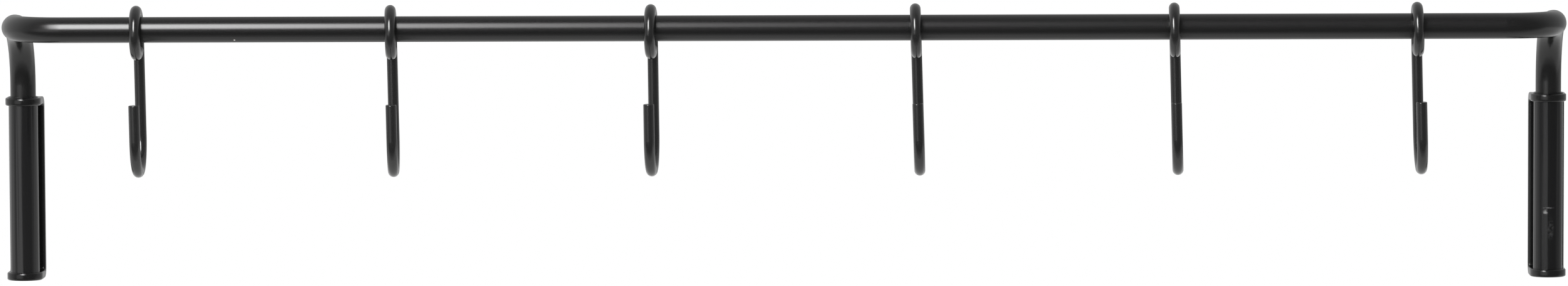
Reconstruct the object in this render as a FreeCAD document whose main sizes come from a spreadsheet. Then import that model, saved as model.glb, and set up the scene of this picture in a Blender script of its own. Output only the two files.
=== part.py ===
"""Kitchen utensil rail: a bent round bar standing in two folded wall brackets, with loose wire hooks.

+X runs along the bar, +Y points into the wall and +Z is up. The wall is the plane y = 0, and the origin
is the middle of the wall screws' pattern.
"""
import FreeCAD, Part
import math
import os
import re

import Sketcher
from FreeCAD import Vector

# Driving dimensions, in millimetres and degrees
SIZES = {
    # bar
    "bar_diameter": 10.0,
    "leg_spacing": 600.0,
    "corner_radius": 20.0,
    "drop_radius": 24.0,
    "leg_rise": 29.2,
    "leg_end_recess": 0.5,
    "leg_end_chamfer": 0.6,
    # brackets
    "strip_width": 14.0,
    "strip_thickness": 3.0,
    "bracket_height": 72.0,
    "fold_radius": 1.2,
    "strip_edge_radius": 0.55,
    "flange_clearance": 0.3,
    "leg_end_clearance": 0.2,
    # sleeves
    "sleeve_diameter": 11.4,
    "sleeve_clearance": 0.1,
    "sleeve_stand_off": 3.3,
    "sleeve_lip": 0.5,
    # wall screws
    "screw_pitch": 50.0,
    "screw_diameter": 4.0,
    "screw_neck": 3.4,
    "screw_clearance": 0.25,
    "screw_reach": 30.0,
    "screw_point": 6.0,
    "head_diameter": 8.2,
    "head_height": 2.6,
    "head_dome": 1.6,
    # hooks
    "wire_diameter": 4.2,
    "eye_bore": 12.9,
    "eye_end_gap": 0.25,
    "hang_clearance": 0.2,
    "hook_height": 66.5,
    "throat_radius": 13.0,
    "tip_height": 29.5,
    "wire_end_radius": 0.35,
}

# Where each hook hangs along the bar, how far it is turned about the vertical, and its lean along the bar
HOOKS = {
    "hook_1": {"along": -250.3, "twist": 0.5, "lean": 0.7},
    "hook_2": {"along": -151.5, "twist": 2.2, "lean": 0.9},
    "hook_3": {"along": -50.6, "twist": -2.0, "lean": 0.4},
    "hook_4": {"along": 52.0, "twist": 0.0, "lean": 1.5},
    "hook_5": {"along": 152.1, "twist": -1.6, "lean": 1.3},
    "hook_6": {"along": 245.9, "twist": -0.3, "lean": 1.4},
}

# Sizes that follow from the driving ones
DERIVED = {
    "leg_y": "-(strip_thickness + sleeve_stand_off + sleeve_diameter / 2)",
    "bar_y": "leg_y - drop_radius - corner_radius",
    "bar_z": "bracket_height / 2 + leg_rise",
    "flange_front": "leg_y - strip_width / 2",
    "leg_end_z": "leg_end_recess - bracket_height / 2",
    "eye_radius": "(eye_bore + wire_diameter) / 2",
    "eye_drop": "(eye_bore - bar_diameter) / 2 - hang_clearance",
    "hook_bottom": "eye_radius + wire_diameter / 2 - eye_drop - hook_height",
    "throat_z": "hook_bottom + wire_diameter / 2 + throat_radius",
    "tip_z": "hook_bottom + tip_height",
    "tip_y": "eye_radius - 2 * throat_radius",
    "eye_opening": "acos((eye_radius - wire_diameter / 2 - eye_end_gap)"
                   " / (eye_radius + wire_diameter / 2)) / 1 deg",
    "eye_sweep": "360 - eye_opening",
    "eye_length": "eye_radius * eye_sweep * pi / 180",
    "shank_length": "-eye_drop - throat_z",
    "throat_length": "pi * throat_radius",
    "tip_length": "tip_z - throat_z",
    "side_moment": "shank_length * eye_radius - eye_radius ^ 2 * sin(eye_opening * 1 deg)"
                   " + throat_length * (eye_radius - throat_radius) + tip_length * tip_y",
    "drop_moment": "eye_radius ^ 2 * (1 - cos(eye_opening * 1 deg)) - eye_length * eye_drop"
                   " + shank_length * (throat_z - eye_drop) / 2"
                   " + throat_length * throat_z - 2 * throat_radius ^ 2"
                   " + tip_length * (tip_z + throat_z) / 2",
    "hang_angle": "atan(side_moment / drop_moment) / 1 deg",
}

# How a sketch numbers its origin, the points of a curve, and its own two axes
ORIGIN = (-1, 1)
FIRST, LAST, CENTRE = range(1, 4)
ACROSS_AXIS, UP_AXIS = range(-1, -3, -1)

doc = FreeCAD.newDocument("utensil_rail")
sheet = doc.addObject("Spreadsheet::Sheet", "sizes")


def fill_sheet():
    """Write every size to its own row, with its name beside it."""
    entries = {name: str(value) for name, value in SIZES.items()}
    for hook, place in HOOKS.items():
        entries.update({f"{hook}_{key}": str(value) for key, value in place.items()})
    entries.update({name: "=" + formula for name, formula in DERIVED.items()})
    for row, (name, text) in enumerate(entries.items(), start=1):
        sheet.set(f"A{row}", name)
        sheet.set(f"B{row}", text)
        sheet.setAlias(f"B{row}", name)
    doc.recompute()


def bound(formula):
    """The formula with each size name pointing at its cell."""
    def cell(word):
        return f"sizes.{word[0]}" if sheet.getCellFromAlias(word[0]) else word[0]

    return re.sub(r"[a-z]\w*", cell, formula)


def value_of(formula):
    """What a formula of sizes comes to, in millimetres or degrees."""
    return float(sheet.evalExpression(bound(formula)))


def make_body(label):
    body = doc.addObject("PartDesign::Body", label)
    body.Label = label
    return body


def origin_plane(body, role):
    return next(feature for feature in body.Origin.OriginFeatures if feature.Role == role)


def make_sketch(body, name, role, across="0", up="0", out="0"):
    """A sketch on one of the body's own planes, with its origin shifted in that plane and out of it."""
    sketch = body.newObject("Sketcher::SketchObject", name)
    sketch.AttachmentSupport = [(origin_plane(body, role), "")]
    sketch.MapMode = "FlatFace"
    for axis, formula in zip("xyz", (across, up, out)):
        if formula != "0":
            sketch.setExpression(f"AttachmentOffset.Base.{axis}", bound(formula))
    return sketch


def dimension(sketch, kind, *arguments, formula):
    """Add a dimension that takes its value from the sheet."""
    index = sketch.addConstraint(Sketcher.Constraint(kind, *arguments, value_of(formula)))
    sketch.setExpression(f"Constraints[{index}]", bound(formula))


def place_point(sketch, curve, end, across, up):
    """Fix a point of a curve by its two distances from the sketch's origin."""
    for kind, axis, formula in (("DistanceX", UP_AXIS, across), ("DistanceY", ACROSS_AXIS, up)):
        if formula == "0":
            sketch.addConstraint(Sketcher.Constraint("PointOnObject", curve, end, axis))
        else:
            dimension(sketch, kind, *ORIGIN, curve, end, formula=formula)


def add_circle(sketch, diameter, across="0", up="0"):
    centre = Vector(value_of(across), value_of(up), 0)
    circle = sketch.addGeometry(Part.Circle(centre, Vector(0, 0, 1), value_of(diameter) / 2))
    place_point(sketch, circle, CENTRE, across, up)
    dimension(sketch, "Diameter", circle, formula=diameter)


def add_outline(sketch, points):
    """A closed outline of straight edges through points given as pairs of formulas."""
    corners = [Vector(value_of(across), value_of(up), 0) for across, up in points]
    count = len(corners)
    edges = [
        sketch.addGeometry(Part.LineSegment(corners[i], corners[(i + 1) % count])) for i in range(count)
    ]
    for i, edge in enumerate(edges):
        sketch.addConstraint(Sketcher.Constraint("Coincident", edge, LAST, edges[(i + 1) % count], FIRST))
        place_point(sketch, edge, FIRST, *points[i])


def pad(body, name, sketch, length, both_sides=False, reverse=False):
    feature = body.newObject("PartDesign::Pad", name)
    feature.Profile = sketch
    feature.setExpression("Length", bound(length))
    feature.Midplane = both_sides
    feature.Reversed = reverse
    return feature


def pocket(body, name, sketch, length):
    feature = body.newObject("PartDesign::Pocket", name)
    feature.Profile = sketch
    feature.setExpression("Length", bound(length))


def revolve(body, name, sketch, axis, angle, reverse=False):
    feature = body.newObject("PartDesign::Revolution", name)
    feature.Profile = sketch
    feature.ReferenceAxis = (sketch, [axis])
    feature.Angle = angle
    feature.Reversed = reverse
    return feature


def soften(body, name, kind, radius, wanted):
    """Round or chamfer those edges of the body's last feature whose bounding box passes the test."""
    doc.recompute()
    base = body.Tip
    edges = [f"Edge{i}" for i, edge in enumerate(base.Shape.Edges, start=1) if wanted(edge.BoundBox)]
    feature = body.newObject(f"PartDesign::{kind}", name)
    feature.Base = (base, edges)
    feature.setExpression("Radius" if kind == "Fillet" else "Size", bound(radius))


def near(a, b):
    return abs(a - b) < 1e-4


def mirror(body, name, features, role):
    """Repeat features on the other side of one of the body's own planes."""
    doc.recompute()
    copy = body.newObject("PartDesign::Mirrored", name)
    copy.Originals = features
    copy.MirrorPlane = (origin_plane(body, role), [""])
    body.Tip = copy


def repeat(body, name, axis, length):
    """A second copy of the whole body, a given length along one of its own axes."""
    doc.recompute()
    copy = body.newObject("PartDesign::LinearPattern", name)
    copy.TransformMode = "Whole shape"
    copy.Direction = (origin_plane(body, axis), [""])
    copy.Occurrences = 2
    copy.setExpression("Length", bound(length))
    body.Tip = copy


def make_bar():
    """The round bar: a straight run, then at each end a bend back, a bend down and a leg."""
    body = make_body("rail_bar")
    run = make_sketch(body, "run_section", "YZ_Plane", across="bar_y", up="bar_z")
    add_circle(run, "bar_diameter")
    pad(body, "straight_run", run, "leg_spacing - 2 * corner_radius", both_sides=True)

    corner = make_sketch(
        body, "corner_section", "YZ_Plane",
        across="bar_y + corner_radius", up="bar_z", out="leg_spacing / 2 - corner_radius",
    )
    add_circle(corner, "bar_diameter", across="-corner_radius")
    bend_back = revolve(body, "bend_back", corner, "V_Axis", 90)

    drop = make_sketch(
        body, "drop_section", "XZ_Plane",
        across="leg_spacing / 2", up="bar_z - drop_radius", out="-(bar_y + corner_radius)",
    )
    add_circle(drop, "bar_diameter", up="drop_radius")
    bend_down = revolve(body, "bend_down", drop, "H_Axis", 90, reverse=True)

    foot = make_sketch(
        body, "leg_section", "XY_Plane", across="leg_spacing / 2", up="leg_y", out="bar_z - drop_radius"
    )
    add_circle(foot, "bar_diameter")
    leg = pad(body, "leg", foot, "bar_z - drop_radius - leg_end_z", reverse=True)

    mirror(body, "other_end", [bend_back, bend_down, leg], "YZ_Plane")
    end_z = value_of("leg_end_z")
    soften(body, "leg_ends", "Chamfer", "leg_end_chamfer", lambda box: near(box.ZMax, end_z))
    return body


def make_bracket(label, centre):
    """A strip folded to a wall plate and two round-nosed flanges, drilled for the leg and the screws."""
    body = make_body(label)
    top, inside = "bracket_height / 2", "(bracket_height / 2 - strip_thickness)"
    strip = make_sketch(body, "strip_side", "YZ_Plane")
    add_outline(strip, [
        ("0", f"-{top}"), ("0", top), ("leg_y", top), ("leg_y", inside),
        ("-strip_thickness", inside), ("-strip_thickness", f"-{inside}"),
        ("leg_y", f"-{inside}"), ("leg_y", f"-{top}"),
    ])
    pad(body, "folded_strip", strip, "strip_width", both_sides=True)
    round_nose = make_sketch(body, "flange_nose_outline", "XY_Plane", up="leg_y", out=inside)
    add_circle(round_nose, "strip_width")
    nose = pad(body, "flange_nose", round_nose, "strip_thickness")
    mirror(body, "lower_nose", [nose], "XY_Plane")

    high, front = value_of(top), -value_of("strip_thickness")
    soften(body, "fold_outside", "Fillet", "fold_radius + strip_thickness",
           lambda box: box.XLength > 1 and near(box.YMin, 0) and near(abs(box.ZMax), high))
    soften(body, "fold_inside", "Fillet", "fold_radius",
           lambda box: box.XLength > 1 and near(box.YMax, front) and near(box.ZLength, 0))
    nose_front = value_of("flange_front")
    soften(body, "strip_edges", "Fillet", "strip_edge_radius",
           lambda box: near(box.YMin, nose_front) and near(box.ZLength, 0))

    sleeve_hole = make_sketch(body, "sleeve_hole_outline", "XY_Plane", up="leg_y", out=top)
    add_circle(sleeve_hole, "sleeve_diameter + 2 * flange_clearance")
    pocket(body, "sleeve_hole", sleeve_hole, "strip_thickness")
    leg_hole = make_sketch(body, "leg_hole_outline", "XY_Plane", up="leg_y", out=f"-{inside}")
    add_circle(leg_hole, "bar_diameter + 2 * leg_end_clearance")
    pocket(body, "leg_hole", leg_hole, "strip_thickness")
    screw_holes = make_sketch(body, "screw_hole_outlines", "XZ_Plane", out="strip_thickness")
    for height in ("screw_pitch / 2", "-screw_pitch / 2"):
        add_circle(screw_holes, "screw_diameter + 2 * screw_clearance", up=height)
    pocket(body, "screw_holes", screw_holes, "strip_thickness")
    body.setExpression("Placement.Base.x", bound(centre))
    return body


def make_sleeve(label, centre):
    """A thin sleeve pushed on the leg, standing on the lower flange and just proud of the upper one."""
    body = make_body(label)
    stand = "strip_thickness - bracket_height / 2"
    ring = make_sketch(body, "sleeve_ring", "XY_Plane", up="leg_y", out=stand)
    add_circle(ring, "sleeve_diameter")
    add_circle(ring, "bar_diameter + 2 * sleeve_clearance")
    pad(body, "sleeve_wall", ring, "bracket_height - strip_thickness + sleeve_lip")
    body.setExpression("Placement.Base.x", bound(centre))
    return body


def make_screws():
    """Four pan-head screws, necked where they pass the plates, turned once and repeated along and up."""
    body = make_body("wall_screws")
    profile = make_sketch(
        body, "screw_profile", "XY_Plane", across="-leg_spacing / 2", out="-screw_pitch / 2"
    )
    head_front = "-(strip_thickness + head_height)"
    add_outline(profile, [
        ("0", head_front), ("head_diameter / 2", head_front), ("head_diameter / 2", "-strip_thickness"),
        ("screw_neck / 2", "-strip_thickness"), ("screw_neck / 2", "0"), ("screw_diameter / 2", "0"),
        ("screw_diameter / 2", "screw_reach - screw_point"), ("0", "screw_reach"),
    ])
    revolve(body, "screw", profile, "V_Axis", 360)
    dome_y = value_of(head_front)
    soften(body, "head_dome", "Fillet", "head_dome",
           lambda box: near(box.YMax, dome_y) and box.XLength > 1 and box.ZLength > 1)
    repeat(body, "along_wall", "X_Axis", "leg_spacing")
    repeat(body, "up_wall", "Z_Axis", "screw_pitch")
    return body


def make_hook(label):
    """A wire hook: tip, throat, shank and eye follow one path, and the eye goes round the bar."""
    body = make_body(label)
    path = make_sketch(body, "wire_path", "YZ_Plane")
    eye_centre, eye_radius = Vector(0, -value_of("eye_drop"), 0), value_of("eye_radius")
    throat_centre = Vector(value_of("eye_radius - throat_radius"), value_of("throat_z"), 0)
    shank_top, shank_foot = Vector(eye_radius, eye_centre.y, 0), Vector(eye_radius, throat_centre.y, 0)
    tip_foot, tip_top = (Vector(value_of("tip_y"), value_of(z), 0) for z in ("throat_z", "tip_z"))
    up = Vector(0, 0, 1)

    tip = path.addGeometry(Part.LineSegment(tip_top, tip_foot))
    throat = path.addGeometry(Part.ArcOfCircle(
        Part.Circle(throat_centre, up, value_of("throat_radius")), math.pi, 2 * math.pi
    ))
    shank = path.addGeometry(Part.LineSegment(shank_foot, shank_top))
    eye = path.addGeometry(Part.ArcOfCircle(
        Part.Circle(eye_centre, up, eye_radius), 0, math.radians(value_of("eye_sweep"))
    ))
    path.addConstraint(Sketcher.Constraint("Vertical", tip))
    dimension(path, "DistanceY", *ORIGIN, tip, FIRST, formula="tip_z")
    path.addConstraint(Sketcher.Constraint("Coincident", tip, LAST, throat, FIRST))
    place_point(path, throat, CENTRE, "eye_radius - throat_radius", "throat_z")
    dimension(path, "DistanceY", *ORIGIN, throat, FIRST, formula="throat_z")
    path.addConstraint(Sketcher.Constraint("Coincident", throat, LAST, shank, FIRST))
    place_point(path, shank, FIRST, "eye_radius", "throat_z")
    place_point(path, shank, LAST, "eye_radius", "-eye_drop")
    path.addConstraint(Sketcher.Constraint("Coincident", shank, LAST, eye, FIRST))
    place_point(path, eye, CENTRE, "0", "-eye_drop")
    sweep = path.addConstraint(Sketcher.Constraint("Angle", eye, math.radians(value_of("eye_sweep"))))
    path.setExpression(f"Constraints[{sweep}]", bound("eye_sweep * 1 deg"))

    section = make_sketch(body, "wire_section", "XY_Plane", up="tip_y", out="tip_z")
    add_circle(section, "wire_diameter")
    wire = body.newObject("PartDesign::AdditivePipe", "wire")
    wire.Profile = section
    wire.Spine = (path, [])
    end_y = value_of("eye_radius * cos(eye_opening * 1 deg)")
    ends = [tip_top, Vector(end_y, value_of("-eye_drop - eye_radius * sin(eye_opening * 1 deg)"), 0)]
    soften(body, "wire_ends", "Fillet", "wire_end_radius", lambda box: any(
        near(box.Center.y, end.x) and near(box.Center.z, end.y) for end in ends
    ))
    body.setExpression("Placement", bound(
        f"placement(vector({label}_along; bar_y; bar_z);"
        f" rotationz({label}_twist * 1 deg) * rotationy(-{label}_lean * 1 deg)"
        " * rotationx(hang_angle * 1 deg))"
    ))
    return body


def export(bodies):
    """Stop at any failed object or bad solid, and then write each sub-part to its own file."""
    doc.recompute()
    failed = [item.Name for item in doc.Objects if {"Invalid", "Error"} & set(item.State)]
    failed += [body.Label for body in bodies if body.Shape.isNull() or not body.Shape.isValid()]
    if failed:
        raise RuntimeError(f"failed objects: {failed}")
    os.makedirs("parts", exist_ok=True)
    for body in bodies:
        body.Shape.exportStep(f"parts/{body.Label}.step")


fill_sheet()
LEFT, RIGHT = "-leg_spacing / 2", "leg_spacing / 2"
export([
    make_bar(),
    make_bracket("bracket_left", LEFT),
    make_bracket("bracket_right", RIGHT),
    make_sleeve("leg_sleeve_left", LEFT),
    make_sleeve("leg_sleeve_right", RIGHT),
    make_screws(),
    *[make_hook(label) for label in HOOKS],
])
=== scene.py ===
"""Kitchen utensil rail: its finishes, the screws' threads and recesses, and a white studio around it."""
import math

import bmesh
import bpy
from bpy.props import FloatProperty, FloatVectorProperty, PointerProperty
from mathutils import Matrix, Vector


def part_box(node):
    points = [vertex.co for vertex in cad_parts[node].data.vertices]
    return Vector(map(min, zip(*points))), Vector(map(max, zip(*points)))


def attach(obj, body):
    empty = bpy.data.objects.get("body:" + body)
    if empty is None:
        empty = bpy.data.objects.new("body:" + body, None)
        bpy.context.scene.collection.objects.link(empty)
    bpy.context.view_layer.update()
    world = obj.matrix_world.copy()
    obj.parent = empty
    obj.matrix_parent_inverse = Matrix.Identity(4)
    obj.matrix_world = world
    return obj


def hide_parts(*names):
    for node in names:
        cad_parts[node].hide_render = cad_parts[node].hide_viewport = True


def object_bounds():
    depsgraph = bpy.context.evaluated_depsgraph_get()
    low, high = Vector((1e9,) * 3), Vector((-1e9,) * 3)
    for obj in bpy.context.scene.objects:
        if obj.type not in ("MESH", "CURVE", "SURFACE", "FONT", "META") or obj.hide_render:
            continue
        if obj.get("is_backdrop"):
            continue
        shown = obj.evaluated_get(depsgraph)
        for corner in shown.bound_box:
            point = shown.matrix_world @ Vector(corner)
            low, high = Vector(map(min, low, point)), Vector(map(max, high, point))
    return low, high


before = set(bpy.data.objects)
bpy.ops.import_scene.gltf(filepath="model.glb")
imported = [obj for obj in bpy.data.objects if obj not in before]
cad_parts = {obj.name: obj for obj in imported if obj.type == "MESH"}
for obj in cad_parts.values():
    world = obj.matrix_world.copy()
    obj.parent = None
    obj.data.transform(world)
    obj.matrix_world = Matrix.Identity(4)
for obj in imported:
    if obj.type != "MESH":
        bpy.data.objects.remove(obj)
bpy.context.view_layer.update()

bl_info = {
    "name": "Kitchen utensil rail",
    "version": (1, 0, 0),
    "blender": (4, 5, 0),
    "location": "View3D > Sidebar > Utensil rail",
    "description": "Finishes a wall rail with its wire hooks, and sets it in a white studio",
    "category": "Object",
}

MM = 0.001
WHITE = (1, 1, 1, 1)
HOOKS = [f"hook_{number}" for number in range(1, 7)]
BRACKETS = ["bracket_left", "bracket_right"]

# The image that the focal length is given for, in pixels, and the camera's sensor in millimetres
IMAGE_WIDTH = 2500
SENSOR_WIDTH = 36.0

# Rubs on the right sleeve, in mm: across, down from its top, half height, width for height, strength
SCUFFS = [
    (-0.3, 45.2, 0.5, 5.5, 0.5),
    (-1.4, 46.8, 1.5, 0.9, 0.9),
    (0.6, 53.5, 5.5, 0.32, 0.14),
]
# The share of a rub or chip, from its middle, that has its full strength
SPOT_CORE = 0.2
# A rub starts to show where its grain is above the first of these, and shows fully above the second
GRAIN_START, GRAIN_FULL = 0.34, 0.68

# How strongly the orange peel tilts the powder coat, and how long a sleeve's streak is for its width
PEEL_STRENGTH = 0.12
STREAK_STRETCH = 50
# Looks round a point for the lacquer's rounded edges
EDGE_LOOKS = 12

# How far back a direction points where the room's front ends and where its back begins
ROOM_FRONT, ROOM_BACK = -0.6, 0.3
# Bright parts of the room: the way to each, the cosines where its glow starts and is full, its brightness
GLOWS = [
    ((-0.94, 0.34, 0.0), 0.35, 1.0, 0.35),
    ((-0.5, -0.865, -0.05), 0.88, 0.99, 0.85),
]

# Steps round a screw and over the dome of its head, and how near two points are to be one
SCREW_STEPS = 48
DOME_STEPS = 8
WELD = 0.001 * MM

# The cross recess: its span and wing at the mouth and at the floor, as shares of the named sizes
RECESS_MOUTH = (1.15, 1.1)
RECESS_FLOOR = (0.6, 0.8)
RECESS_LEAD = 0.3 * MM

# The thread: steps to a turn, the depth of its root in the core, and the plain end of the point
THREAD_STEPS = 32
THREAD_ROOT = 0.1 * MM
THREAD_END = 0.6 * MM
# Half widths of the thread's root and crest as shares of the pitch, and the crest's height at the point
ROOT_HALF, CREST_HALF = 0.36, 0.06
CREST_AT_POINT = 0.4

# Steps round the floor, and how far above it the dark card lies
FLOOR_STEPS = 96
CARD_LIFT = 1 * MM


def linear(code):
    """The linear values of an sRGB hex colour."""
    channels = [int(code[i:i + 2], 16) / 255 for i in (1, 3, 5)]
    return [c / 12.92 if c <= 0.04045 else ((c + 0.055) / 1.055) ** 2.4 for c in channels]


def length(name, description, default):
    return FloatProperty(name=name, description=description, default=default, unit="LENGTH", min=0)


def share(name, description, default):
    return FloatProperty(
        name=name, description=description, default=default, subtype="FACTOR", min=0, max=1
    )


def angle(name, description, degrees):
    return FloatProperty(
        name=name, description=description, default=math.radians(degrees), unit="ROTATION"
    )


def colour(name, description, code):
    return FloatVectorProperty(
        name=name, description=description, default=linear(code), subtype="COLOR", size=3
    )


class UTENSILRAIL_PG_finish(bpy.types.PropertyGroup):
    """Colours and sizes of the finishes."""
    bar_colour: colour("Bar colour", "Powder coat on the bar", "#131313")
    hook_colour: colour("Hook colour", "Powder coat on the hooks, a little greyer", "#1A1A1A")
    bar_roughness: share("Bar roughness", "How far the bar's powder coat blurs what it reflects", 0.25)
    hook_roughness: share("Hook roughness", "How far the coat on the hooks blurs what it reflects", 0.2)
    bar_index: FloatProperty(
        name="Bar index", description="Index of refraction of the bar's powder coat", default=1.5, min=1
    )
    hook_index: FloatProperty(
        name="Hook index", description="Index of refraction of the coat on the hooks", default=1.6, min=1
    )
    coat_grain: length("Coat grain", "Width of one dimple of the powder coat's orange peel", 1.2 * MM)
    coat_dimple: length("Coat dimple", "Depth of one dimple of the orange peel", 0.02 * MM)
    bar_diameter: length("Bar diameter", "Across the bar, to find the place of its chip", 10 * MM)
    chip_along: FloatProperty(
        name="Chip along", description="From the rail's middle to the chip in the bar's coat",
        default=-211.9 * MM, unit="LENGTH",
    )
    chip_angle: angle("Chip angle", "How high the chip lies round the bar, from its front", -51)
    chip_size: length("Chip size", "From the chip's middle to its edge", 0.5 * MM)
    chip_colour: colour("Chip colour", "Bare speck in the bar's powder coat", "#E8E6E2")
    lacquer_colour: colour("Lacquer colour", "Lacquer on the brackets", "#101010")
    lacquer_roughness: share("Lacquer roughness", "How far the lacquer blurs what it reflects", 0.18)
    lacquer_swing: share("Lacquer swing", "How far its roughness goes up and down", 0.05)
    lacquer_mottle: length("Lacquer mottle", "Width of one duller or glossier patch", 2.5 * MM)
    lacquer_edge: length("Lacquer edge", "How far the thick lacquer rounds the strip's edges", 1.2 * MM)
    sleeve_colour: colour("Sleeve colour", "Plastic of the sleeves on the legs", "#0F0F10")
    sleeve_roughness: share("Sleeve roughness", "How far the clean sleeve blurs what it reflects", 0.14)
    sleeve_gloss: share("Sleeve gloss", "How strongly the clean sleeve reflects", 0.5)
    sleeve_streak: length("Sleeve streak", "Width of one drawn streak along the sleeve", 1.5 * MM)
    sleeve_groove: length("Sleeve groove", "Depth of one drawn streak", 0.17 * MM)
    worn_roughness: share("Worn roughness", "How far the scuffed sleeve blurs what it reflects", 0.24)
    worn_gloss: share("Worn gloss", "How strongly the scuffed sleeve reflects", 0.33)
    scuff_colour: colour("Scuff colour", "Rubbed plastic in the sleeve's scuff marks", "#8A8A8A")
    scuff_grain: length("Scuff grain", "Width of one speck in the scuff marks", 0.9 * MM)
    oxide_colour: colour("Oxide colour", "Black oxide on the screws", "#3C3D40")
    oxide_roughness: share("Oxide roughness", "How far the black oxide blurs what it reflects", 0.28)
    # The bright rim steel on the screws' heads is a painted highlight for the dome edge's glint, not worn
    # metal
    rim_highlight_colour: colour("Rim colour", "Bright steel on the rims of the screws' heads, a painted highlight", "#C9C7C2")
    rim_highlight_roughness: share("Rim roughness", "How far the rim's highlight steel blurs what it reflects", 0.3)


class UTENSILRAIL_PG_screw(bpy.types.PropertyGroup):
    """Sizes of the wall screws' detail."""
    head_diameter: length("Head diameter", "Across the pan head", 8.2 * MM)
    head_height: length("Head height", "From the plate to the front of the head", 2.6 * MM)
    head_dome: length("Head dome", "Rounding of the head's front edge", 1.6 * MM)
    rim_start: length("Rim start", "From the middle of the head to its bright rim, a painted highlight", 3.55 * MM)
    core_diameter: length("Core diameter", "Across the shank between the threads", 2.9 * MM)
    thread_diameter: length("Thread diameter", "Across the crests of the thread", 4.0 * MM)
    thread_pitch: length("Thread pitch", "From one crest to the next", 1.6 * MM)
    thread_start: length("Thread start", "From the wall to the first turn", 2.0 * MM)
    point_length: length("Point length", "Length of the tapered point", 6.0 * MM)
    recess_span: length("Recess span", "Across the cross recess", 4.4 * MM)
    recess_wing: length("Recess wing", "Width of one wing of the recess", 1.1 * MM)
    recess_depth: length("Recess depth", "Depth of the cross recess", 1.7 * MM)
    sharp_angle: angle("Sharp angle", "Edges that turn by more than this are left sharp", 35)


class UTENSILRAIL_PG_studio(bpy.types.PropertyGroup):
    """The camera, the softbox, the dark card, the room and the floor."""
    camera_distance: length("Camera distance", "From the camera to its target", 2.9)
    camera_azimuth: angle("Camera azimuth", "How far the camera stands to the right", 1.2)
    camera_elevation: angle("Camera elevation", "How far the camera looks down", 4.3)
    camera_roll: angle("Camera roll", "How far the camera is tipped", -0.245)
    camera_focal: FloatProperty(
        name="Camera focal length", description="In pixels of the whole image",
        default=11863.6, subtype="PIXEL",
    )
    target: FloatVectorProperty(
        name="Camera target", description="The point at the middle of the image",
        default=(0.47 * MM, -40 * MM, 19.35 * MM), subtype="TRANSLATION", unit="LENGTH",
    )
    box_distance: length("Softbox distance", "From the bar to the softbox", 1.6)
    box_width: length("Softbox width", "Width of the softbox's lamp", 0.9)
    box_height: length("Softbox height", "Height of the softbox", 1.55)
    box_offset: length("Softbox offset", "How far the softbox stands to the left of the middle", 0.47)
    box_elevation: angle("Softbox elevation", "How high the softbox stands above the bar", 33.0)
    box_power: FloatProperty(
        name="Softbox power", description="Light on every surface", default=16, unit="POWER"
    )
    box_in_gloss: FloatProperty(
        name="Softbox in gloss", description="How bright its middle looks in a glossy surface",
        default=24, min=0,
    )
    box_spread: length("Softbox spread", "How far to the right it dims to three fifths", 0.125)
    box_tail: length("Softbox tail", "How far to the left it dims to three fifths", 0.3)
    box_feather: length("Softbox feather", "Width of its soft lower and upper edges", 0.4)
    room_light: share("Room light", "The room's even light on the part", 0.75)
    front_in_gloss: share("Front in gloss", "How bright the room's front looks in gloss", 0.2)
    back_in_gloss: share("Back in gloss", "How bright the room's sides and back look in gloss", 0.55)
    flag_in_gloss: share("Flag in gloss", "How bright the dark card in front looks in gloss", 0.17)
    flag_edge: share("Flag edge", "How bright the dark card's near edge looks in gloss", 0.6)
    flag_fade: length("Flag fade", "From the dark card's near edge to its full dark", 0.5)
    flag_gap: length("Flag gap", "From the bar to the near edge of the dark card", 0.3)
    floor_colour: colour("Floor colour", "Matt white floor", "#F4F4F3")
    floor_drop: length("Floor drop", "From the part's lowest point to the floor", 0.6)
    floor_radius: length("Floor radius", "Radius of the round floor", 3.0)
    floor_fade_start: length("Fade start", "Where the floor starts to fade to white", 0.9)
    floor_fade_end: length("Fade end", "Where the floor has faded to white", 1.8)


def finishes():
    return bpy.context.scene.utensil_rail_finish


def add_node(tree, kind, inputs=None, **attributes):
    """Add a node. An input is given a value, or the output socket that it is linked from."""
    node = tree.nodes.new(kind)
    for name, value in attributes.items():
        setattr(node, name, value)
    for key, value in (inputs or {}).items():
        if isinstance(value, bpy.types.NodeSocket):
            tree.links.new(value, node.inputs[key])
        else:
            node.inputs[key].default_value = value
    return node


def start_material(name):
    """An empty material with its node tree and the place where its surface goes."""
    material = bpy.data.materials.new(name)
    material.use_nodes = True
    tree = material.node_tree
    tree.nodes.clear()
    return material, tree, add_node(tree, "ShaderNodeOutputMaterial")


def spot_mask(tree, spots, grain=None):
    """How far each point lies in a soft spot, broken up by a grain where one is given.

    A spot has a place, a half height, a width for each unit of that, and a strength.
    """
    position = add_node(tree, "ShaderNodeTexCoord").outputs["Object"]
    mask = None
    for place, half_height, stretch, strength in spots:
        away = add_node(
            tree, "ShaderNodeVectorMath", {0: position, 1: place}, operation="SUBTRACT"
        ).outputs["Vector"]
        squeezed = add_node(
            tree, "ShaderNodeVectorMath", {0: away, 1: (1 / stretch, 1 / stretch, 1)}, operation="MULTIPLY"
        ).outputs["Vector"]
        reach = add_node(
            tree, "ShaderNodeVectorMath", {0: squeezed}, operation="LENGTH"
        ).outputs["Value"]
        spot = add_node(tree, "ShaderNodeMapRange", {
            "Value": reach, "From Min": half_height, "From Max": half_height * SPOT_CORE,
            "To Max": strength,
        }, interpolation_type="SMOOTHSTEP").outputs["Result"]
        mask = spot if mask is None else add_node(
            tree, "ShaderNodeMath", {0: mask, 1: spot}, operation="MAXIMUM"
        ).outputs["Value"]
    if grain is None:
        return mask
    specks = add_node(
        tree, "ShaderNodeTexNoise", {"Vector": position, "Scale": 1 / grain, "Detail": 1.0}
    ).outputs["Fac"]
    worn = add_node(
        tree, "ShaderNodeMapRange", {"Value": specks, "From Min": GRAIN_START, "From Max": GRAIN_FULL}
    ).outputs["Result"]
    return add_node(tree, "ShaderNodeMath", {0: mask, 1: worn}, operation="MULTIPLY").outputs["Value"]


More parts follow.
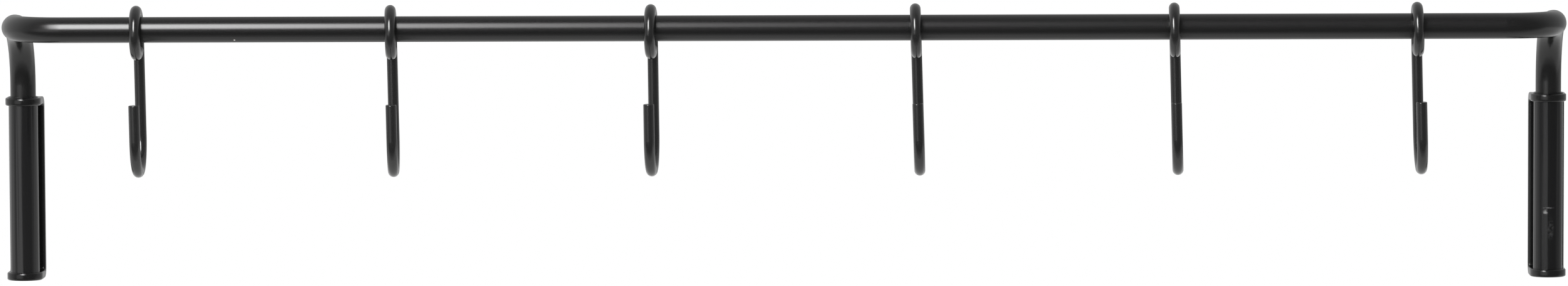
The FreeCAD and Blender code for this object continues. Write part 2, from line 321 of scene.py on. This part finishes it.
def powder_coat(name, tint, roughness, index, chips=()):
    """Satin black polyester powder coat on steel, baked on.

    It is black with a soft sheen: broad blurred highlights, and a faint orange peel that ripples them.
    """
    finish = finishes()
    material, tree, output = start_material(name)
    position = add_node(tree, "ShaderNodeTexCoord").outputs["Object"]
    peel = add_node(
        tree, "ShaderNodeTexNoise",
        {"Vector": position, "Scale": 1 / finish.coat_grain, "Detail": 2.0, "Roughness": 0.5},
    ).outputs["Fac"]
    ripple = add_node(
        tree, "ShaderNodeBump",
        {"Height": peel, "Strength": PEEL_STRENGTH, "Distance": finish.coat_dimple},
    ).outputs["Normal"]
    shader = add_node(tree, "ShaderNodeBsdfPrincipled", {
        "Base Color": (*tint, 1), "Roughness": roughness, "IOR": index, "Normal": ripple,
    })
    if chips:
        tree.links.new(add_node(tree, "ShaderNodeMix", {
            "Factor": spot_mask(tree, chips), "A": (*tint, 1), "B": (*finish.chip_colour, 1),
        }, data_type="RGBA").outputs[2], shader.inputs["Base Color"])
    tree.links.new(shader.outputs["BSDF"], output.inputs["Surface"])
    return material


def strip_lacquer():
    """Black stoving lacquer on folded strip steel, sprayed thick.

    It is a little smoother than the powder coat, so the folds catch clearer lines of light, and its
    thickness makes the strip's edges look rounder.
    """
    finish = finishes()
    material, tree, output = start_material("Black stoving lacquer on strip steel")
    position = add_node(tree, "ShaderNodeTexCoord").outputs["Object"]
    mottle = add_node(
        tree, "ShaderNodeTexNoise",
        {"Vector": position, "Scale": 1 / finish.lacquer_mottle, "Detail": 3.0},
    ).outputs["Fac"]
    roughness = add_node(tree, "ShaderNodeMapRange", {
        "Value": mottle,
        "To Min": finish.lacquer_roughness - finish.lacquer_swing,
        "To Max": finish.lacquer_roughness + finish.lacquer_swing,
    }).outputs["Result"]
    softened = add_node(
        tree, "ShaderNodeBevel", {"Radius": finish.lacquer_edge}, samples=EDGE_LOOKS
    ).outputs["Normal"]
    shader = add_node(tree, "ShaderNodeBsdfPrincipled", {
        "Base Color": (*finish.lacquer_colour, 1), "Roughness": roughness, "IOR": 1.5,
        "Normal": softened,
    })
    tree.links.new(shader.outputs["BSDF"], output.inputs["Surface"])
    return material


def sleeve_plastic(name, roughness, gloss, scuffs=()):
    """Black extruded plastic tube.

    It is glossier than the metal: bright clear rims, and faint upright streaks left by the die. Where it
    is worn it is duller, with pale rubs.
    """
    finish = finishes()
    material, tree, output = start_material(name)
    position = add_node(tree, "ShaderNodeTexCoord").outputs["Object"]
    drawn = add_node(
        tree, "ShaderNodeMapping", {"Vector": position, "Scale": (1, 1, 1 / STREAK_STRETCH)}
    ).outputs["Vector"]
    streaks = add_node(
        tree, "ShaderNodeTexNoise", {"Vector": drawn, "Scale": 1 / finish.sleeve_streak, "Detail": 1.0}
    ).outputs["Fac"]
    grooves = add_node(
        tree, "ShaderNodeBump", {"Height": streaks, "Strength": 1.0, "Distance": finish.sleeve_groove}
    ).outputs["Normal"]
    shader = add_node(tree, "ShaderNodeBsdfPrincipled", {
        "Base Color": (*finish.sleeve_colour, 1), "Roughness": roughness, "IOR": 1.6,
        "Specular IOR Level": gloss, "Normal": grooves,
    })
    if scuffs:
        tree.links.new(add_node(tree, "ShaderNodeMix", {
            "Factor": spot_mask(tree, scuffs, finish.scuff_grain),
            "A": (*finish.sleeve_colour, 1), "B": (*finish.scuff_colour, 1),
        }, data_type="RGBA").outputs[2], shader.inputs["Base Color"])
    tree.links.new(shader.outputs["BSDF"], output.inputs["Surface"])
    return material


def screw_metal(name, tint, roughness):
    """Plain metal of one colour and one roughness."""
    material, tree, output = start_material(name)
    shader = add_node(tree, "ShaderNodeBsdfPrincipled", {
        "Base Color": (*tint, 1), "Roughness": roughness, "Metallic": 1.0,
    })
    tree.links.new(shader.outputs["BSDF"], output.inputs["Surface"])
    return material


def black_oxide():
    """Hardened steel, chemically blackened and oiled: a dark metal with small clear glints."""
    finish = finishes()
    return screw_metal("Black oxide on hardened steel", finish.oxide_colour, finish.oxide_roughness)


def rim_highlight_steel():
    """Bright steel on the rim of a screw's head, a painted highlight: a thin bright line round the dark
    dome, standing in for the dome edge's grazing glint.
    """
    finish = finishes()
    return screw_metal("Bright steel for the rim's painted highlight", finish.rim_highlight_colour, finish.rim_highlight_roughness)


def coat(nodes, material):
    """Give CAD nodes one finish."""
    for name in nodes:
        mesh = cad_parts[name].data
        mesh.materials.clear()
        mesh.materials.append(material)


def link_mesh(name, mesh, material):
    """A new piece in the scene with one finish."""
    piece = bpy.data.objects.new(name, mesh)
    bpy.context.scene.collection.objects.link(piece)
    mesh.materials.append(material)
    return piece


def turned_screw(size, front, reach):
    """The plain screw on the Y axis: its pan head, shank core and point, turned from half a profile."""
    head_radius, core_radius = size.head_diameter / 2, size.core_diameter / 2
    dome_centre = Vector((head_radius - size.head_dome, front + size.head_dome, 0))
    profile = [Vector((0, front, 0))]
    for step in range(DOME_STEPS + 1):
        turn = math.pi / 2 * step / DOME_STEPS
        profile.append(dome_centre + size.head_dome * Vector((math.sin(turn), -math.cos(turn), 0)))
    under_head = front + size.head_height
    profile += [
        Vector((head_radius, under_head, 0)), Vector((core_radius, under_head, 0)),
        Vector((core_radius, reach - size.point_length, 0)), Vector((0, reach, 0)),
    ]
    screw = bmesh.new()
    points = [screw.verts.new(point) for point in profile]
    edges = [screw.edges.new(pair) for pair in zip(points, points[1:])]
    bmesh.ops.spin(
        screw, geom=points + edges, axis=(0, 1, 0), cent=(0, 0, 0), angle=math.tau, steps=SCREW_STEPS
    )
    bmesh.ops.remove_doubles(screw, verts=screw.verts, dist=WELD)
    bmesh.ops.recalc_face_normals(screw, faces=screw.faces)
    mesh = bpy.data.meshes.new("turned_screw")
    screw.to_mesh(mesh)
    screw.free()
    return mesh


def recess_cutter(size, front):
    """A cross of two wings that narrow towards the floor of the recess."""
    cutter = bmesh.new()
    for quarter in (0, math.pi / 2):
        wing = bmesh.ops.create_cube(cutter, size=2)["verts"]
        for vert in wing:
            outside = vert.co.y < 0
            span, width = RECESS_MOUTH if outside else RECESS_FLOOR
            vert.co.x *= size.recess_span / 2 * span
            vert.co.z *= size.recess_wing / 2 * width
            vert.co.y = front + (-RECESS_LEAD if outside else size.recess_depth)
        bmesh.ops.rotate(cutter, verts=wing, cent=(0, 0, 0), matrix=Matrix.Rotation(quarter, 3, "Y"))
    bmesh.ops.recalc_face_normals(cutter, faces=cutter.faces)
    mesh = bpy.data.meshes.new("recess_cutter")
    cutter.to_mesh(mesh)
    cutter.free()
    return mesh


def cut_recess(screw_mesh, cutter_mesh):
    """The screw with the cross recess cut from its head."""
    screw = bpy.data.objects.new("screw_blank", screw_mesh)
    cutter = bpy.data.objects.new("recess_tool", cutter_mesh)
    for tool in (screw, cutter):
        bpy.context.scene.collection.objects.link(tool)
    cut = screw.modifiers.new("recess", "BOOLEAN")
    cut.operation, cut.solver, cut.object, cut.use_self = "DIFFERENCE", "EXACT", cutter, True
    graph = bpy.context.evaluated_depsgraph_get()
    mesh = bpy.data.meshes.new_from_object(screw.evaluated_get(graph))
    for tool in (screw, cutter):
        bpy.data.objects.remove(tool)
    return mesh


def add_thread(screw, size, reach):
    """A helical ridge wound on the core, which runs out to nothing at both ends."""
    begin, end = size.thread_start, reach - THREAD_END
    count = round((end - begin) / size.thread_pitch * THREAD_STEPS)
    crest_height = (size.thread_diameter - size.core_diameter) / 2
    rings = []
    for step in range(count + 1):
        along = begin + (end - begin) * step / count
        taper = (reach - along) / size.point_length
        core = size.core_diameter / 2 * min(1, taper)
        run_out = min(1, step / THREAD_STEPS, (count - step) / THREAD_STEPS)
        crest = core + crest_height * run_out * min(1, CREST_AT_POINT + taper)
        root = max(core - THREAD_ROOT, 0)
        turn = math.tau * step / THREAD_STEPS
        outward = Vector((math.cos(turn), 0, math.sin(turn)))
        section = [(root, -ROOT_HALF), (crest, -CREST_HALF), (crest, CREST_HALF), (root, ROOT_HALF)]
        rings.append([
            screw.verts.new(outward * radius + Vector((0, along + shift * size.thread_pitch, 0)))
            for radius, shift in section
        ])
    for ring, following in zip(rings, rings[1:]):
        for i in range(4):
            screw.faces.new((ring[i], ring[(i + 1) % 4], following[(i + 1) % 4], following[i]))
    for cap in (rings[0], rings[-1]):
        screw.faces.new(cap)


def make_screw(size, front, reach):
    """One wall screw on the Y axis. Its second material is bright steel on the rim of the head, a painted
    highlight.
    """
    mesh = cut_recess(turned_screw(size, front, reach), recess_cutter(size, front))
    screw = bmesh.new()
    screw.from_mesh(mesh)
    add_thread(screw, size, reach)
    bmesh.ops.recalc_face_normals(screw, faces=screw.faces)
    for face in screw.faces:
        middle = face.calc_center_median()
        # Faces beyond rim_start take the bright rim steel, a painted highlight
        face.material_index = int(math.hypot(middle.x, middle.z) > size.rim_start)
    screw.to_mesh(mesh)
    screw.free()
    return mesh


def make_room(scene, studio):
    """White behind the part, a dimmer room with its glows in the gloss, and even light on the part."""
    world = bpy.data.worlds.new("White room")
    scene.world = world
    world.use_nodes = True
    tree = world.node_tree
    tree.nodes.clear()
    path = add_node(tree, "ShaderNodeLightPath").outputs
    seen = add_node(
        tree, "ShaderNodeMath", {0: path["Is Camera Ray"], 1: path["Is Transmission Ray"]},
        operation="MAXIMUM",
    ).outputs["Value"]
    direction = add_node(tree, "ShaderNodeTexCoord").outputs["Generated"]
    depth = add_node(tree, "ShaderNodeSeparateXYZ", {"Vector": direction}).outputs["Y"]
    gloss = add_node(tree, "ShaderNodeMapRange", {
        "Value": depth, "From Min": ROOM_FRONT, "From Max": ROOM_BACK,
        "To Min": studio.front_in_gloss, "To Max": studio.back_in_gloss,
    }, interpolation_type="SMOOTHSTEP").outputs["Result"]
    for toward, start, end, brightness in GLOWS:
        nearness = add_node(
            tree, "ShaderNodeVectorMath", {0: direction, 1: toward}, operation="DOT_PRODUCT"
        ).outputs["Value"]
        glow = add_node(tree, "ShaderNodeMapRange", {
            "Value": nearness, "From Min": start, "From Max": end, "To Max": brightness,
        }, interpolation_type="SMOOTHSTEP").outputs["Result"]
        gloss = add_node(tree, "ShaderNodeMath", {0: gloss, 1: glow}, operation="ADD").outputs["Value"]
    light = add_node(
        tree, "ShaderNodeMix", {"Factor": path["Is Glossy Ray"], "A": studio.room_light, "B": gloss}
    ).outputs["Result"]
    strength = add_node(tree, "ShaderNodeMix", {"Factor": seen, "A": light, "B": 1.0}).outputs["Result"]
    white = add_node(tree, "ShaderNodeBackground", {"Color": WHITE, "Strength": strength})
    add_node(tree, "ShaderNodeOutputWorld", {"Surface": white.outputs["Background"]})


def make_floor(studio, height):
    """A round matt floor that keeps the part's shadow and fades to white further out."""
    material, tree, output = start_material("Matt white floor")
    matt = add_node(tree, "ShaderNodeBsdfDiffuse", {"Color": (*studio.floor_colour, 1)})
    white = add_node(tree, "ShaderNodeEmission", {"Color": WHITE, "Strength": 1.0})
    position = add_node(tree, "ShaderNodeTexCoord").outputs["Object"]
    away = add_node(tree, "ShaderNodeVectorMath", {0: position}, operation="LENGTH").outputs["Value"]
    fade = add_node(tree, "ShaderNodeMapRange", {
        "Value": away, "From Min": studio.floor_fade_start, "From Max": studio.floor_fade_end,
    }).outputs["Result"]
    path = add_node(tree, "ShaderNodeLightPath").outputs
    seen = path["Is Camera Ray"]
    for kind in ("Is Glossy Ray", "Is Transmission Ray"):
        seen = add_node(
            tree, "ShaderNodeMath", {0: seen, 1: path[kind]}, operation="MAXIMUM"
        ).outputs["Value"]
    whiteness = add_node(
        tree, "ShaderNodeMath", {0: seen, 1: fade}, operation="MULTIPLY"
    ).outputs["Value"]
    surface = add_node(tree, "ShaderNodeMixShader", {
        "Fac": whiteness, 1: matt.outputs["BSDF"], 2: white.outputs["Emission"],
    })
    tree.links.new(surface.outputs["Shader"], output.inputs["Surface"])

    disc = bmesh.new()
    bmesh.ops.create_circle(disc, cap_ends=True, radius=studio.floor_radius, segments=FLOOR_STEPS)
    mesh = bpy.data.meshes.new("floor")
    disc.to_mesh(mesh)
    disc.free()
    floor = link_mesh("floor", mesh, material)
    floor.location.z = height
    floor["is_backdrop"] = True


def gloss_card(name, left, right, low, high, material):
    """A flat card that only glossy surfaces see."""
    mesh = bpy.data.meshes.new(name)
    corners = [(left, low, 0), (right, low, 0), (right, high, 0), (left, high, 0)]
    mesh.from_pydata(corners, [], [(0, 1, 2, 3)])
    card = link_mesh(name, mesh, material)
    card.visible_camera = card.visible_diffuse = card.visible_transmission = card.visible_shadow = False
    return card


def make_flag(studio, near_y, height):
    """A dark card on the floor in front, with a soft near edge."""
    material, tree, output = start_material("Dark card")
    position = add_node(tree, "ShaderNodeTexCoord").outputs["Object"]
    depth = add_node(tree, "ShaderNodeSeparateXYZ", {"Vector": position}).outputs["Y"]
    strength = add_node(tree, "ShaderNodeMapRange", {
        "Value": depth, "From Min": near_y - studio.flag_fade, "From Max": near_y,
        "To Min": studio.flag_in_gloss, "To Max": studio.flag_edge,
    }, interpolation_type="SMOOTHSTEP").outputs["Result"]
    dark = add_node(tree, "ShaderNodeEmission", {"Color": WHITE, "Strength": strength})
    tree.links.new(dark.outputs["Emission"], output.inputs["Surface"])
    reach = studio.floor_radius
    flag = gloss_card("dark_card", -reach, reach, near_y - reach, near_y, material)
    flag.location.z = height
    flag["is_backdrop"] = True


def softbox_cloth(studio):
    """A glow that dims to both sides as a bell curve does, with soft lower and upper edges."""
    material, tree, output = start_material("Softbox cloth")
    position = add_node(tree, "ShaderNodeTexCoord").outputs["Object"]
    on_face = add_node(tree, "ShaderNodeSeparateXYZ", {"Vector": position}).outputs
    on_left = add_node(
        tree, "ShaderNodeMath", {0: on_face["X"], 1: 0.0}, operation="LESS_THAN"
    ).outputs["Value"]
    width = add_node(
        tree, "ShaderNodeMix", {"Factor": on_left, "A": studio.box_spread, "B": studio.box_tail}
    ).outputs["Result"]
    across = add_node(
        tree, "ShaderNodeMath", {0: on_face["X"], 1: width}, operation="DIVIDE"
    ).outputs["Value"]
    squared = add_node(
        tree, "ShaderNodeMath", {0: across, 1: across}, operation="MULTIPLY"
    ).outputs["Value"]
    halved = add_node(
        tree, "ShaderNodeMath", {0: squared, 1: -0.5}, operation="MULTIPLY"
    ).outputs["Value"]
    strength = add_node(tree, "ShaderNodeMath", {0: halved}, operation="EXPONENT").outputs["Value"]
    half_height = studio.box_height / 2
    for edge in (-half_height, half_height):
        feather = add_node(tree, "ShaderNodeMapRange", {
            "Value": on_face["Y"], "From Min": edge,
            "From Max": edge - math.copysign(studio.box_feather, edge),
        }, interpolation_type="SMOOTHSTEP").outputs["Result"]
        strength = add_node(
            tree, "ShaderNodeMath", {0: strength, 1: feather}, operation="MULTIPLY"
        ).outputs["Value"]
    strength = add_node(
        tree, "ShaderNodeMath", {0: strength, 1: studio.box_in_gloss}, operation="MULTIPLY"
    ).outputs["Value"]
    cloth = add_node(tree, "ShaderNodeEmission", {"Color": WHITE, "Strength": strength})
    tree.links.new(cloth.outputs["Emission"], output.inputs["Surface"])
    return material


def make_softbox(studio, bar):
    """A softbox on the left: a plain lamp for its light, and a graded face for the gloss."""
    level, rise = math.cos(studio.box_elevation), math.sin(studio.box_elevation)
    place = bar + Vector((-studio.box_offset, -studio.box_distance * level, studio.box_distance * rise))
    turn = Vector((0, level, -rise)).to_track_quat("-Z", "Y").to_euler()

    light = bpy.data.lights.new("softbox_lamp", "AREA")
    light.shape, light.size, light.size_y = "RECTANGLE", studio.box_width, studio.box_height
    light.energy = studio.box_power
    lamp = bpy.data.objects.new("softbox_lamp", light)
    bpy.context.scene.collection.objects.link(lamp)
    lamp.visible_camera = lamp.visible_glossy = False

    # Further out than this the face is too dim to count
    left, right = -3 * studio.box_tail, 4 * studio.box_spread
    half_height = studio.box_height / 2
    face = gloss_card("softbox_face", left, right, -half_height, half_height, softbox_cloth(studio))

    for item in (lamp, face):
        item.location = place
        item.rotation_euler = turn
        item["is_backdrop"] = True


def make_camera(scene, studio):
    """A long lens nearly square to the wall, a little above the bar."""
    azimuth, elevation = studio.camera_azimuth, studio.camera_elevation
    level = math.cos(elevation)
    back = Vector((math.sin(azimuth) * level, -math.cos(azimuth) * level, math.sin(elevation)))
    level_right = Vector((0, 0, 1)).cross(back).normalized()
    level_up = back.cross(level_right)
    roll = studio.camera_roll
    right = level_right * math.cos(roll) + level_up * math.sin(roll)
    up = level_up * math.cos(roll) - level_right * math.sin(roll)
    lens = bpy.data.cameras.new("camera")
    lens.sensor_fit, lens.sensor_width = "HORIZONTAL", SENSOR_WIDTH
    lens.lens = studio.camera_focal / IMAGE_WIDTH * SENSOR_WIDTH
    camera = bpy.data.objects.new("camera", lens)
    scene.collection.objects.link(camera)
    turned = Matrix((right, up, back)).transposed().to_4x4()
    place = Vector(studio.target) + back * studio.camera_distance
    camera.matrix_world = Matrix.Translation(place) @ turned
    scene.camera = camera


class UTENSILRAIL_OT_bar(bpy.types.Operator):
    """Powder-coat the bent bar, with the bare speck in its coat"""
    bl_idname = "utensil_rail.bar"
    bl_label = "Coat the bar"

    def execute(self, context):
        finish = finishes()
        low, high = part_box("rail_bar")
        radius = finish.bar_diameter / 2
        chip = Vector((
            finish.chip_along,
            low.y + radius * (1 - math.cos(finish.chip_angle)),
            high.z - radius * (1 - math.sin(finish.chip_angle)),
        ))
        spots = [(chip, finish.chip_size, 1.0, 1.0)]
        coat(["rail_bar"], powder_coat(
            "Satin black powder coat on bar steel",
            finish.bar_colour, finish.bar_roughness, finish.bar_index, spots,
        ))
        return {"FINISHED"}


class UTENSILRAIL_OT_hooks(bpy.types.Operator):
    """Powder-coat the six wire hooks"""
    bl_idname = "utensil_rail.hooks"
    bl_label = "Coat the hooks"

    def execute(self, context):
        finish = finishes()
        coat(HOOKS, powder_coat(
            "Satin black powder coat on steel wire",
            finish.hook_colour, finish.hook_roughness, finish.hook_index,
        ))
        return {"FINISHED"}


class UTENSILRAIL_OT_brackets(bpy.types.Operator):
    """Lacquer the two folded brackets"""
    bl_idname = "utensil_rail.brackets"
    bl_label = "Lacquer the brackets"

    def execute(self, context):
        coat(BRACKETS, strip_lacquer())
        return {"FINISHED"}


class UTENSILRAIL_OT_sleeves(bpy.types.Operator):
    """Give the sleeves their glossy plastic, with the scuffs on the right one"""
    bl_idname = "utensil_rail.sleeves"
    bl_label = "Finish the sleeves"

    def execute(self, context):
        finish = finishes()
        low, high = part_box("leg_sleeve_right")
        middle = (low + high) / 2
        radius = (high.x - low.x) / 2
        scuffs = []
        for across, drop, half_height, stretch, strength in SCUFFS:
            side = across * MM
            depth = math.sqrt(radius ** 2 - side ** 2)
            place = Vector((middle.x + side, middle.y - depth, high.z - drop * MM))
            scuffs.append((place, half_height * MM, stretch, strength))
        clean = sleeve_plastic(
            "Black extruded plastic sleeve", finish.sleeve_roughness, finish.sleeve_gloss
        )
        worn = sleeve_plastic(
            "Black extruded plastic sleeve, scuffed", finish.worn_roughness, finish.worn_gloss, scuffs
        )
        coat(["leg_sleeve_left"], clean)
        coat(["leg_sleeve_right"], worn)
        return {"FINISHED"}


class UTENSILRAIL_OT_screws(bpy.types.Operator):
    """Make the four wall screws with their cross recesses and threads"""
    bl_idname = "utensil_rail.screws"
    bl_label = "Make the wall screws"

    def execute(self, context):
        size = context.scene.utensil_rail_screw
        low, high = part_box("wall_screws")
        one = make_screw(size, low.y, high.y)
        group = bmesh.new()
        head_radius = size.head_diameter / 2
        for x in (low.x + head_radius, high.x - head_radius):
            for z in (low.z + head_radius, high.z - head_radius):
                known = set(group.verts)
                group.from_mesh(one)
                added = [vert for vert in group.verts if vert not in known]
                bmesh.ops.translate(group, verts=added, vec=(x, 0, z))
        mesh = bpy.data.meshes.new("threaded_wall_screws")
        group.to_mesh(mesh)
        group.free()
        mesh.set_sharp_from_angle(angle=size.sharp_angle)
        screws = link_mesh("threaded_wall_screws", mesh, black_oxide())
        # The second material, bright steel on the heads' rims, is a painted highlight
        mesh.materials.append(rim_highlight_steel())
        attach(screws, "wall_frame")
        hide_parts("wall_screws")
        return {"FINISHED"}


class UTENSILRAIL_OT_stage(bpy.types.Operator):
    """Set up the floor, the room, the softbox, the dark card and the camera"""
    bl_idname = "utensil_rail.stage"
    bl_label = "Set up the studio"

    def execute(self, context):
        studio = context.scene.utensil_rail_studio
        low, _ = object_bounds()
        bar_low, bar_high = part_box("rail_bar")
        bar = Vector((0, bar_low.y, bar_high.z))
        floor_z = low.z - studio.floor_drop
        context.scene.view_settings.view_transform = "Standard"
        make_room(context.scene, studio)
        make_floor(studio, floor_z)
        make_flag(studio, bar.y - studio.flag_gap, floor_z + CARD_LIFT)
        make_softbox(studio, bar)
        make_camera(context.scene, studio)
        return {"FINISHED"}


class UTENSILRAIL_PT_sidebar(bpy.types.Panel):
    """The steps in their order, with the values that they use"""
    bl_idname = "UTENSILRAIL_PT_sidebar"
    bl_label = "Utensil rail"
    bl_space_type = "VIEW_3D"
    bl_region_type = "UI"
    bl_category = "Utensil rail"

    def draw(self, context):
        for operator in OPERATORS:
            self.layout.operator(operator.bl_idname)
        for name in GROUPS:
            group = getattr(context.scene, name)
            box = self.layout.box()
            for value in group.__annotations__:
                box.prop(group, value)


GROUPS = {
    "utensil_rail_finish": UTENSILRAIL_PG_finish,
    "utensil_rail_screw": UTENSILRAIL_PG_screw,
    "utensil_rail_studio": UTENSILRAIL_PG_studio,
}
OPERATORS = [
    UTENSILRAIL_OT_bar, UTENSILRAIL_OT_hooks, UTENSILRAIL_OT_brackets, UTENSILRAIL_OT_sleeves,
    UTENSILRAIL_OT_screws, UTENSILRAIL_OT_stage,
]


def register():
    for kind in (*GROUPS.values(), *OPERATORS, UTENSILRAIL_PT_sidebar):
        bpy.utils.register_class(kind)
    for name, group in GROUPS.items():
        setattr(bpy.types.Scene, name, PointerProperty(type=group))


def unregister():
    for name in GROUPS:
        delattr(bpy.types.Scene, name)
    for kind in (UTENSILRAIL_PT_sidebar, *reversed(OPERATORS), *GROUPS.values()):
        bpy.utils.unregister_class(kind)


def main():
    register()
    bpy.ops.utensil_rail.bar()
    bpy.ops.utensil_rail.hooks()
    bpy.ops.utensil_rail.brackets()
    bpy.ops.utensil_rail.sleeves()
    bpy.ops.utensil_rail.screws()
    bpy.ops.utensil_rail.stage()


if __name__ == "__main__":
    main()
